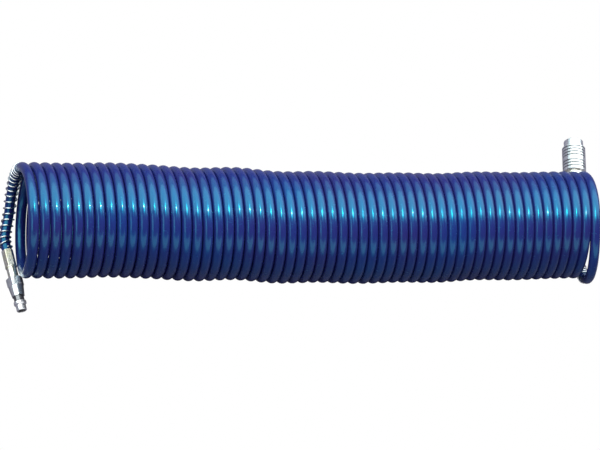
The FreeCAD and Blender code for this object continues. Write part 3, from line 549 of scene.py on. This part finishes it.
class Finish:
    """Materials of the hose, its fittings and its seals."""

    def __init__(self, plug_turn: float, socket_turn: float) -> None:
        self.plug_turn = plug_turn
        self.socket_turn = socket_turn

    def hose(self) -> bpy.types.Material:
        """Glossy blue extruded hose, a little cloudy, with faint lines from the die."""
        board = NodeBoard("glossy_blue_hose")
        place = board.object_place()
        clouds = board.noise(place, 14.0, 3.0)
        board.link(
            board.ramp(clouds, [
                (0.30, (0.016, 0.010, 0.100)),
                (0.55, (0.011, 0.015, 0.122)),
                (0.75, (0.008, 0.026, 0.148)),
            ]),
            board.shader.inputs["Base Color"],
        )
        scuffs = board.noise(place, 260.0, 3.0, 0.6)
        board.link(board.spread(scuffs, 0.20, 0.31), board.shader.inputs["Roughness"])
        board.set("Specular IOR Level", 1.0)
        board.set("Specular Tint", (0.0, 0.78, 1.0, 1.0))
        board.set("Coat Weight", 0.22)
        board.set("Coat Roughness", 0.03)
        around = board.add("ShaderNodeAttribute", attribute_name="around")
        lines = board.noise(around.outputs["Vector"], 26.0, 1.0)
        peel = board.noise(place, 420.0, 2.0)
        height = board.add("ShaderNodeMath", operation="ADD")
        board.link(lines, height.inputs[0])
        board.link(peel, height.inputs[1])
        board.bump(height.outputs["Value"], 0.00003, 0.6)
        return board.material

    def turned(
        self, name: str, turn: float, dark: Color, light: Color, rough: Tuple[float, float]
    ) -> bpy.types.Material:
        """Turned and plated metal, with fine rings from the lathe and painted shade in its grooves.

        Args:
            name: Name of the material.
            turn: Angle about Z that lays the piece's axis along X.
            dark: Colour of the duller patches.
            light: Colour of the bright plating.
            rough: Least and greatest roughness.

        Returns:
            The material.
        """
        board = NodeBoard(name)
        patches = board.noise(board.object_place(turn=turn), 90.0, 4.0, 0.6)
        plating = board.ramp(patches, [(0.35, dark), (0.6, light)])
        # Painted shade: a near-black colour is mixed into the plating wherever the profile sets a
        # groove share.
        painted_shade = board.add("ShaderNodeAttribute", attribute_name="painted_shade")
        shade_mix = board.add("ShaderNodeMix", data_type="RGBA")
        shade_mix.inputs["B"].default_value = (0.05, 0.05, 0.055, 1.0)
        board.link(painted_shade.outputs["Fac"], shade_mix.inputs["Factor"])
        board.link(plating, shade_mix.inputs["A"])
        board.link(shade_mix.outputs["Result"], board.shader.inputs["Base Color"])
        rings = board.noise(board.object_place((1.0, 0.02, 0.02), turn), 5200.0, 2.0, 0.6)
        board.link(board.spread(rings, *rough), board.shader.inputs["Roughness"])
        board.set("Metallic", 0.85)
        board.bump(rings, 0.000012, 0.7)
        return board.material

    def wire(self) -> bpy.types.Material:
        """Drawn spring wire, with faint lines along it."""
        board = NodeBoard("drawn_spring_wire")
        place = board.object_place()
        patches = board.noise(place, 160.0, 3.0)
        board.link(
            board.ramp(patches, [(0.35, (0.62, 0.63, 0.64)), (0.65, (0.86, 0.87, 0.88))]),
            board.shader.inputs["Base Color"],
        )
        around = board.add("ShaderNodeAttribute", attribute_name="around")
        lines = board.noise(around.outputs["Vector"], 40.0, 1.0)
        board.link(board.spread(lines, 0.12, 0.26), board.shader.inputs["Roughness"])
        board.set("Metallic", 1.0)
        board.bump(lines, 0.00001, 0.5)
        return board.material

    def ball(self) -> bpy.types.Material:
        """Polished ball steel."""
        board = NodeBoard("ball_steel")
        haze = board.noise(board.object_place(), 500.0, 2.0)
        board.link(
            board.ramp(haze, [(0.3, (0.72, 0.73, 0.75)), (0.7, (0.84, 0.85, 0.86))]),
            board.shader.inputs["Base Color"],
        )
        board.link(board.spread(haze, 0.05, 0.14), board.shader.inputs["Roughness"])
        board.set("Metallic", 1.0)
        return board.material

    def rubber(self) -> bpy.types.Material:
        """Black seal rubber."""
        board = NodeBoard("seal_rubber")
        grain = board.noise(board.object_place(), 900.0, 3.0)
        board.link(
            board.ramp(grain, [(0.3, (0.012, 0.012, 0.013)), (0.7, (0.035, 0.035, 0.037))]),
            board.shader.inputs["Base Color"],
        )
        board.link(board.spread(grain, 0.45, 0.65), board.shader.inputs["Roughness"])
        board.bump(grain, 0.00002, 0.5)
        return board.material


def wear(node: str, material: bpy.types.Material) -> None:
    """Gives a CAD node its material and its hard edges.

    Args:
        node: Name of the node.
        material: Material for all of it.
    """
    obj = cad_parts[node]
    obj.data.materials.clear()
    obj.data.materials.append(material)
    sharpen(obj)


class HoseMaker:
    """Builds the hose and the spring guards on the hose's route."""

    SIDES = 20
    GUARD_SIDES = 12
    GUARD_POINTS_PER_CURL = 28
    PLAIN_TAIL = 0.13
    SWELL_RAMP = 0.05
    HOSE_CREASE = math.radians(60.0)

    def __init__(self, route: HoseRoute, finish: Finish) -> None:
        self.route = route
        self.finish = finish
        self.path = Path(route.read_points())

    def hose(self) -> bpy.types.Object:
        """The whole hose as one tube, with its bore open at both ends."""
        size = self.route.sizes
        length = self.path.length
        inner = self.path.distances
        distances = np.r_[size.barb_room, 0.0, inner, length, length - size.barb_room]
        from_end = np.minimum(inner, length - inner)
        ease = np.clip((from_end - self.PLAIN_TAIL) / self.SWELL_RAMP, 0.0, 1.0)
        outside = size.outer_r + size.coil_swell * ease
        radii = np.r_[size.bore_r, size.bore_r, outside, size.bore_r, size.bore_r]
        tube = Tube(self.path, distances, radii, self.SIDES)
        places = tube.coordinates()
        places[:, 2] = np.maximum(places[:, 2], 0.0)
        hose = tube.build("hose", places)
        hose.data.materials.append(self.finish.hose())
        sharpen(hose, self.HOSE_CREASE)
        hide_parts("hose_coil", "hose_tail_plug", "hose_tail_socket")
        self.stretch_with_coil(hose)
        return hose

    def stretch_with_coil(self, hose: bpy.types.Object) -> None:
        """Bakes the hose's placement into its mesh.

        Args:
            hose: The hose's object.
        """
        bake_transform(hose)

    def guard(
        self, name: str, node: str, path: Path, body: Body, material: bpy.types.Material
    ) -> bpy.types.Object:
        """A spring guard round one tail of the hose.

        Args:
            name: Name of the object.
            node: CAD node that it replaces.
            path: The hose's line, from the fitting that the guard starts at.
            body: Body that it rides on.
            material: Its material.

        Returns:
            The object.
        """
        count = GUARD.curls * self.GUARD_POINTS_PER_CURL
        turns = np.linspace(0.0, GUARD.curls, count + 1)
        points, normals, tangents = path.at(GUARD.first + self.guard_advance(turns))
        across = np.cross(tangents, normals)
        angles = (2.0 * math.pi * turns)[:, None]
        line = Path(points + (normals * np.cos(angles) + across * np.sin(angles)) * GUARD.curl_r)
        bevel = 0.25 * GUARD.wire_r
        distances = np.r_[0.0, bevel, line.distances[1:-1], line.length - bevel, line.length]
        radii = np.full(len(distances), GUARD.wire_r)
        radii[0] = radii[-1] = GUARD.wire_r - bevel
        tube = Tube(line, distances, radii, self.GUARD_SIDES)
        guard = tube.build(name, tube.coordinates())
        guard.data.materials.append(material)
        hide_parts(node)
        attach(guard, body.value)
        return guard

    @staticmethod
    def guard_advance(turns: np.ndarray) -> np.ndarray:
        """Distance along the hose for a place on the guard, a little closer wound at its ends.

        Args:
            turns: Places along the guard, in curls.

        Returns:
            Distances from the guard's first curl.
        """
        share = turns / GUARD.curls
        eased = share - GUARD.closing / (2.0 * math.pi) * np.sin(2.0 * math.pi * share)
        return eased * GUARD.curls * GUARD.pitch


@dataclass(frozen=True)
class Corner:
    """Corner of a turned profile, in millimetres; flats is 0 where the piece is round, and the last
    field is the share of painted shade in a groove.
    """

    station: float
    radius: float
    flats: float = 0.0
    painted_shade: float = 0.0

    def radius_at(self, angle: float) -> float:
        """Radius at an angle from the middle of a flat.

        Args:
            angle: Angle round the axis, in radians.

        Returns:
            The radius, cut back to the flat where there is one.
        """
        if not self.flats:
            return self.radius
        sixth = math.pi / 3.0
        off_middle = (angle + sixth / 2.0) % sixth - sixth / 2.0
        return min(self.radius, 0.5 * self.flats / math.cos(off_middle))


class Lathe:
    """Turns finely divided fittings about the axis of one end of the hose."""

    SIDES = 96
    BARB_LENGTH = 13.0 * MM
    CREASE = math.radians(24.0)

    def __init__(self, face: Vector, axis: Vector) -> None:
        self.axis = axis
        self.start = face - axis * self.BARB_LENGTH
        self.up = Vector((0.0, 0.0, 1.0))
        self.side = self.up.cross(axis)

    def turn(
        self, node: str, body: Body, slot: str, corners: Sequence[Corner],
        material: bpy.types.Material,
    ) -> bpy.types.Object:
        """Turns a closed profile round the axis.

        Args:
            node: CAD node that the piece replaces.
            body: Body that it rides on.
            slot: Material slot of the node; not used.
            corners: Closed profile, with its bore.
            material: Its material.

        Returns:
            The object.
        """
        places = []
        for corner in corners:
            for step in range(self.SIDES):
                angle = 2.0 * math.pi * step / self.SIDES
                radius = corner.radius_at(angle) * MM
                spoke = self.up * math.cos(angle) + self.side * math.sin(angle)
                places.append(self.start + self.axis * corner.station * MM + spoke * radius)
        faces = []
        for ring in range(len(corners)):
            here, there = ring * self.SIDES, (ring + 1) % len(corners) * self.SIDES
            for step in range(self.SIDES):
                after = (step + 1) % self.SIDES
                faces.append((here + step, here + after, there + after, there + step))
        mesh = bpy.data.meshes.new(f"turned_{node}")
        mesh.from_pydata([tuple(place) for place in places], [], faces)
        shell = bmesh.new()
        shell.from_mesh(mesh)
        bmesh.ops.recalc_face_normals(shell, faces=shell.faces)
        shell.to_mesh(mesh)
        shell.free()
        # Share of painted groove shade for each vertex, read by the metal's material.
        painted_shade = mesh.attributes.new("painted_shade", "FLOAT", "POINT")
        shade_amounts = np.repeat([corner.painted_shade for corner in corners], self.SIDES)
        painted_shade.data.foreach_set("value", shade_amounts.astype(np.float32))
        mesh.materials.append(material)
        piece = bpy.data.objects.new(f"turned_{node}", mesh)
        bpy.context.scene.collection.objects.link(piece)
        sharpen(piece, self.CREASE)
        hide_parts(node)
        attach(piece, body.value)
        return piece


def plug_profile() -> List[Corner]:
    """Profile of the plug: hexagon, cone, locking groove, collar and nose.

    Returns:
        The corners, in millimetres from the tip of the barbed shank.
    """
    round_r, flats = 8.475, 15.0
    return [
        Corner(44.4, 4.85), Corner(44.4, round_r - 0.8, flats), Corner(44.9, round_r, flats),
        Corner(52.7, round_r, flats), Corner(53.2, round_r - 0.8, flats), Corner(53.2, 7.7),
        # The locking groove's corners carry painted shade.
        Corner(63.6, 6.3), Corner(64.1, 6.3), Corner(64.1, 5.2, painted_shade=0.8),
        Corner(69.1, 5.2, painted_shade=0.8),
        Corner(70.3, 6.3), Corner(72.7, 6.3), Corner(73.9, 5.1), Corner(79.4, 5.1),
        Corner(79.9, 4.6), Corner(79.9, 4.25), Corner(79.65, 4.0), Corner(52.9, 4.0),
        Corner(52.9, 4.85),
    ]


def sleeve_profile() -> List[Corner]:
    """Profile of the locking sleeve, with its grip grooves and the ramp over the balls.

    Returns:
        The corners, in millimetres from the tip of the barbed shank.
    """
    rear, front, outer = 52.8, 83.8, 13.0
    skirt, chamber, land, ball_travel = 10.12, 10.4, 8.9, 1.05
    depth, width, pitch, band, setback = 0.55, 1.4, 3.6, 6.6, 1.6
    front_count, rear_count = 4, 3
    grip = outer - depth
    released = land + ball_travel
    corners = [Corner(rear, skirt), Corner(rear, 12.5), Corner(rear + 0.5, outer)]
    front_set = front - setback
    rear_set = front_set - pitch * (front_count - 1) - band
    for first, count in ((rear_set, rear_count), (front_set, front_count)):
        for groove in reversed(range(count)):
            end = first - pitch * groove
            start = end - width
            # Groove floors carry painted shade.
            corners += [
                Corner(start, outer), Corner(start + depth / 2.0, grip, painted_shade=1.0),
                Corner(end - depth / 2.0, grip, painted_shade=1.0), Corner(end, outer),
            ]
    return corners + [
        Corner(front - 0.5, outer), Corner(front, 12.5), Corner(front, released),
        Corner(82.3, released), Corner(77.8, land), Corner(rear + 15.5, land),
        Corner(rear + 15.5, chamber), Corner(rear + 5.0, chamber), Corner(rear + 5.0, skirt),
    ]


def nose_ring_profile() -> List[Corner]:
    """Profile of the ring in front of the sleeve.

    Returns:
        The corners, in millimetres from the tip of the barbed shank.
    """
    return [
        Corner(83.9, 7.85), Corner(83.9, 10.3), Corner(84.4, 10.8), Corner(92.08, 10.8),
        Corner(92.88, 10.0), Corner(92.88, 7.85),
    ]


class Studio:
    """Floor, lights, backdrop and camera."""

    TARGET = Vector((-27.53 * MM, -27.72 * MM, 57.25 * MM))
    TILT = math.radians(64.0)
    SWING = math.radians(16.37)
    ROLL = math.radians(0.64)
    DISTANCE = 2.0
    FOCAL_PIXELS = 1943.8
    PHOTO_WIDTH = 600.0

    def camera(self) -> None:
        """Camera at the photograph's angle."""
        view = Vector((
            math.sin(self.SWING),
            math.cos(self.SWING) * math.cos(self.TILT),
            -math.cos(self.SWING) * math.sin(self.TILT),
        ))
        right = (Vector((1.0, 0.0, 0.0)) - view * view.x).normalized()
        up = right.cross(view)
        turned_right = right * math.cos(self.ROLL) + up * math.sin(self.ROLL)
        turned_up = up * math.cos(self.ROLL) - right * math.sin(self.ROLL)
        data = bpy.data.cameras.new("camera")
        data.sensor_width = 36.0
        data.lens = self.FOCAL_PIXELS / self.PHOTO_WIDTH * data.sensor_width
        data.clip_end = 100.0
        camera = bpy.data.objects.new("camera", data)
        bpy.context.scene.collection.objects.link(camera)
        axes = Matrix((turned_right, turned_up, -view)).transposed()
        camera.matrix_world = Matrix.Translation(self.TARGET - view * self.DISTANCE) @ axes.to_4x4()
        bpy.context.scene.camera = camera

    @staticmethod
    def softbox(
        name: str, elevation: float, distance: float, size: Tuple[float, float], power: float,
        color: Color = (1.0, 1.0, 1.0), along: float = 0.0,
    ) -> None:
        """Rectangular light that faces the middle of the coil.

        Args:
            name: Name of the light.
            elevation: Angle above the surface on the -Y side, in degrees.
            distance: Distance from the coil.
            size: Length along X and width, in metres.
            power: Power in watts.
            color: Colour of the light.
            along: Shift along X, in metres.
        """
        data = bpy.data.lights.new(name, "AREA")
        data.shape = "RECTANGLE"
        data.size, data.size_y = size
        data.energy = power
        data.color = color
        light = bpy.data.objects.new(name, data)
        bpy.context.scene.collection.objects.link(light)
        angle = math.radians(elevation)
        away = Vector((0.0, -math.cos(angle), math.sin(angle)))
        middle = Vector((0.0, -0.022, 0.057))
        light.location = middle + away * distance + Vector((along, 0.0, 0.0))
        sideways = Vector((1.0, 0.0, 0.0))
        axes = Matrix((sideways, away.cross(sideways), away)).transposed()
        light.rotation_euler = axes.to_euler()

    @staticmethod
    def floor() -> None:
        """Large pale floor under the coil, white to the camera and dimmer to the hose."""
        half = 6.0
        mesh = bpy.data.meshes.new("floor")
        mesh.from_pydata(
            [(-half, -half, 0.0), (half, -half, 0.0), (half, half, 0.0), (-half, half, 0.0)],
            [], [(0, 1, 2, 3)],
        )
        floor = bpy.data.objects.new("floor", mesh)
        floor.location.z = -0.0002
        bpy.context.scene.collection.objects.link(floor)
        board = NodeBoard("pale_floor")
        grain = board.noise(board.object_place(), 60.0, 2.0)
        board.link(
            board.ramp(grain, [(0.0, (0.11, 0.10, 0.14)), (1.0, (0.13, 0.12, 0.16))]),
            board.shader.inputs["Base Color"],
        )
        board.set("Roughness", 0.9)
        board.set("Specular IOR Level", 0.1)
        paths = board.add("ShaderNodeLightPath")
        lit = board.add("ShaderNodeEmission")
        lit.inputs["Strength"].default_value = 1.0
        mix = board.add("ShaderNodeMixShader")
        board.link(paths.outputs["Is Camera Ray"], mix.inputs["Fac"])
        board.link(board.shader.outputs["BSDF"], mix.inputs[1])
        board.link(lit.outputs["Emission"], mix.inputs[2])
        output = board.tree.nodes["Material Output"]
        board.link(mix.outputs["Shader"], output.inputs["Surface"])
        mesh.materials.append(board.material)

    @staticmethod
    def surroundings() -> None:
        """White behind the scene, and a dim room with a brighter horizon for the reflections."""
        world = bpy.data.worlds.new("studio")
        world.use_nodes = True
        bpy.context.scene.world = world
        tree = world.node_tree
        background = tree.nodes["Background"]
        paths = tree.nodes.new("ShaderNodeLightPath")
        place = tree.nodes.new("ShaderNodeTexCoord")
        split = tree.nodes.new("ShaderNodeSeparateXYZ")
        tree.links.new(place.outputs["Generated"], split.inputs["Vector"])
        room = tree.nodes.new("ShaderNodeValToRGB")
        stops = room.color_ramp.elements
        stops[0].position, stops[0].color = 0.0, (0.12, 0.13, 0.22, 1.0)
        stops[1].position, stops[1].color = 1.0, (0.08, 0.09, 0.12, 1.0)
        middle = stops.new(0.35)
        middle.color = (0.07, 0.08, 0.11, 1.0)
        tree.links.new(split.outputs["Z"], room.inputs["Fac"])
        mix = tree.nodes.new("ShaderNodeMix")
        mix.data_type = "RGBA"
        tree.links.new(paths.outputs["Is Camera Ray"], mix.inputs["Factor"])
        tree.links.new(room.outputs["Color"], mix.inputs["A"])
        mix.inputs["B"].default_value = (1.0, 1.0, 1.0, 1.0)
        tree.links.new(mix.outputs["Result"], background.inputs["Color"])

    def build(self) -> None:
        """Sets up everything round the object."""
        self.camera()
        self.floor()
        self.surroundings()
        self.softbox("overhead", 115.0, 1.00, (6.0, 1.05), 62.0, (0.90, 0.98, 1.0))
        self.softbox("speck", 92.0, 0.90, (0.07, 0.04), 6.0, (1.0, 0.90, 0.88))
        self.softbox("front_low", 22.0, 1.50, (5.0, 0.60), 11.0)
        self.softbox("behind", 158.0, 1.50, (6.0, 0.60), 12.0, (0.75, 0.97, 1.0))
        self.softbox("left_side", 60.0, 1.00, (0.7, 0.7), 3.5, along=-1.2)
        scene = bpy.context.scene
        scene.view_settings.view_transform = "Standard"
        scene.view_settings.look = "None"
        scene.view_settings.exposure = 0.0
        scene.view_settings.gamma = 1.0


def dress_fittings(finish: Finish, route: HoseRoute) -> Dict[str, bpy.types.Object]:
    """Turned fittings, and the materials of the CAD nodes that stay.

    Args:
        finish: The maker of the materials.
        route: The hose's line, which gives the place of each end.

    Returns:
        The turned fittings by their CAD nodes.
    """
    turned = {}
    plug_lathe = Lathe(route.plug_face, route.plug_axis)
    socket_lathe = Lathe(route.socket_face, route.socket_axis)
    yellowed, white = (0.78, 0.74, 0.56), (0.90, 0.89, 0.83)
    zinc_dark, zinc = (0.68, 0.70, 0.70), (0.86, 0.87, 0.86)
    for end, turn in (("plug", finish.plug_turn), ("socket", finish.socket_turn)):
        nickel = finish.turned(f"nickel_{end}", turn, yellowed, white, (0.16, 0.34))
        plated = finish.turned(f"plated_{end}", turn, zinc_dark, zinc, (0.14, 0.30))
        for node in ("barbed_stem", "swivel_neck", "thrust_washer"):
            wear(f"{end}_{node}", nickel)
        if end == "plug":
            turned["plug_nipple"] = plug_lathe.turn(
                "plug_nipple", Body.PLUG, "plated_steel", plug_profile(), plated
            )
        else:
            wear("socket_adapter", nickel)
            wear("valve", nickel)
            wear("socket_body", plated)
            turned["socket_nose_ring"] = socket_lathe.turn(
                "socket_nose_ring", Body.SOCKET, "plated_steel", nose_ring_profile(), plated
            )
            turned["locking_sleeve"] = socket_lathe.turn(
                "locking_sleeve", Body.SLEEVE, "plated_steel", sleeve_profile(), plated
            )
    wire = finish.wire()
    for node in ("valve_spring", "sleeve_spring", "plug_snap_ring", "socket_snap_ring"):
        wear(node, wire)
    ball = finish.ball()
    for number in range(1, 7):
        wear(f"locking_ball_{number}", ball)
    rubber = finish.rubber()
    for node in (
        "plug_thread_seal", "socket_thread_seal", "plug_swivel_o_ring", "socket_swivel_o_ring",
        "socket_body_seal", "valve_seal", "mouth_o_ring",
    ):
        wear(node, rubber)
    return turned


def main() -> None:
    """Builds the scene."""
    logging.basicConfig(level=logging.INFO)
    route = HoseRoute(HOSE)
    finish = Finish(
        plug_turn=math.pi / 2.0 - HOSE.plug_yaw, socket_turn=-(math.pi / 2.0 - HOSE.socket_yaw)
    )
    maker = HoseMaker(route, finish)
    hose = maker.hose()
    wire = finish.wire()
    plug_guard = maker.guard(
        "plug_guard", "plug_spring_guard", maker.path, Body.ROOT, wire
    )
    socket_guard = maker.guard(
        "socket_guard", "socket_spring_guard", maker.path.reversed(), Body.SOCKET_END, wire
    )
    turned = dress_fittings(finish, route)
    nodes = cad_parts
    fittings = [nodes[name] for name in (
        "socket_barbed_stem", "socket_swivel_neck", "socket_adapter", "socket_body",
    )]
    fittings += [turned["socket_nose_ring"], turned["locking_sleeve"]]
    Studio().build()
    LOG.info("hose %.3f m in %d rings", maker.path.length, len(maker.path.points))


if __name__ == "__main__":
    main()
